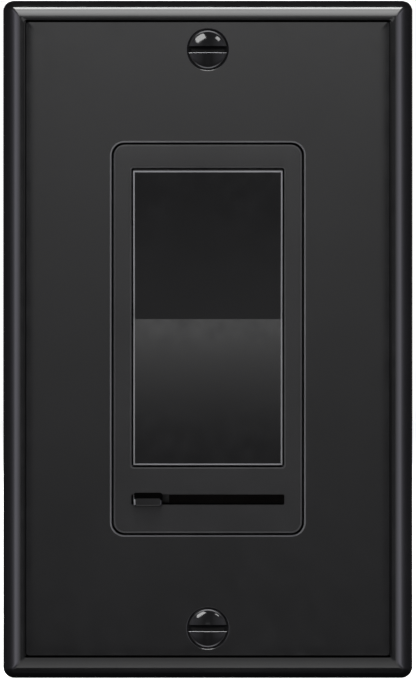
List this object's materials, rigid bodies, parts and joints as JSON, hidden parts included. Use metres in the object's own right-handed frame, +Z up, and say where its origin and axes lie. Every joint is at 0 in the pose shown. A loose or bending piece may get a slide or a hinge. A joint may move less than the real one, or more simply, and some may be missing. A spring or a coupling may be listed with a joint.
{
  "type": "rocker wall switch",
  "caption": "Rocker wall switch with a slide dimmer below the rocker, in a bordered black wall plate, with mounting strap, side screw terminals and rear housing.",
  "frame": {"origin": "midway between the two box screws, on the wall plane that the plate's back rim lies on", "axes": "+Z up, +X right as seen by a person facing the switch, +Y into the wall; the front faces -Y"},
  "size_m": [0.07, 0.0361, 0.116],
  "materials": {
    "plate_plastic": "smooth glossy black thermoplastic",
    "insert_plastic": "smooth semi-gloss black thermoplastic",
    "rocker_plastic": "smooth semi-gloss black thermoplastic",
    "knob_plastic": "moulded black thermoplastic",
    "black_screw": "gloss black lacquered steel",
    "housing_plastic": "fine-textured black moulded thermoset",
    "strap_metal": "rolled and stamped, lightly brushed",
    "zinc_steel": "zinc plated",
    "spring_steel": "bright spring steel",
    "brass_metal": "stamped and turned brass",
    "black_oxide": "black oxide steel",
    "green_screw": "green dyed zinc plate",
    "copper_alloy": "phosphor bronze strip",
    "copper_wire": "enamelled copper wire",
    "contact_silver": "silver alloy",
    "nylon": "natural nylon",
    "phenolic": "moulded black phenolic",
    "fibre": "vulcanised fibre",
    "track_board": "phenolic board with carbon tracks",
    "board_laminate": "green solder mask on glass laminate",
    "black_epoxy": "moulded epoxy",
    "silicone_pad": "grey silicone pad",
    "ferrite": "sintered ferrite",
    "red_film": "red dipped epoxy",
    "amber_epoxy": "amber dipped epoxy",
    "blue_glass": "blue coated glass",
    "resistor_coat": "beige lacquer",
    "fuse_ceramic": "white ceramic",
    "blue_epoxy": "blue dipped epoxy"
  },
  "bodies": {
    "device": {"wall_plate": "plate_plastic", "plate_screws": "black_screw", "front_frame": "insert_plastic", "frame_screws": "zinc_steel", "slide_pot_case": "black_oxide", "slide_pot_track": "track_board", "mounting_strap": "strap_metal", "box_screws": "zinc_steel", "screw_retainers": "fibre", "ground_screw": "green_screw", "rear_housing": "housing_plastic", "traveler_terminal_upper": "brass_metal", "traveler_terminal_lower": "brass_metal", "common_terminal": "brass_metal", "traveler_screws": "brass_metal", "common_screw": "black_oxide", "wire_clamps": "zinc_steel", "contact_block": "phenolic", "fulcrum_bracket": "brass_metal", "fixed_contacts": "contact_silver", "circuit_board": "board_laminate", "triac": "black_epoxy", "triac_insulator": "silicone_pad", "triac_screw": "zinc_steel", "choke_core": "ferrite", "choke_winding": "copper_wire", "film_capacitor": "red_film", "timing_capacitor": "amber_epoxy", "diac": "blue_glass", "resistors": "resistor_coat", "fuse": "fuse_ceramic", "varistor": "blue_epoxy"},
    "paddle": {"rocker": "rocker_plastic", "rocker_plunger": "nylon", "plunger_spring": "spring_steel"},
    "seesaw": {"contact_arm": "copper_alloy", "moving_contacts": "contact_silver"},
    "slider": {"slider_knob": "knob_plastic", "slide_lever": "knob_plastic", "slide_wiper": "knob_plastic"}
  },
  "joints": [
    {"name": "rocker_tilt", "type": "hinge", "parent": "device", "child": "paddle", "pos_m": [0, -0.0024, 0.0036], "axis": [-1, 0, 0], "range_deg": [0, 6.4]},
    {"name": "contact_tilt", "type": "hinge", "parent": "device", "child": "seesaw", "pos_m": [0, 0.00945, 0.0036], "axis": [1, 0, 0], "range_deg": [0, 16]},
    {"name": "dimmer_slide", "type": "slide", "parent": "device", "child": "slider", "axis": [1, 0, 0], "range_m": [0, 0.0204]}
  ],
  "couplings": [
    {"joint": "contact_tilt", "follows": "rocker_tilt", "ratio": 2.5}
  ]
}
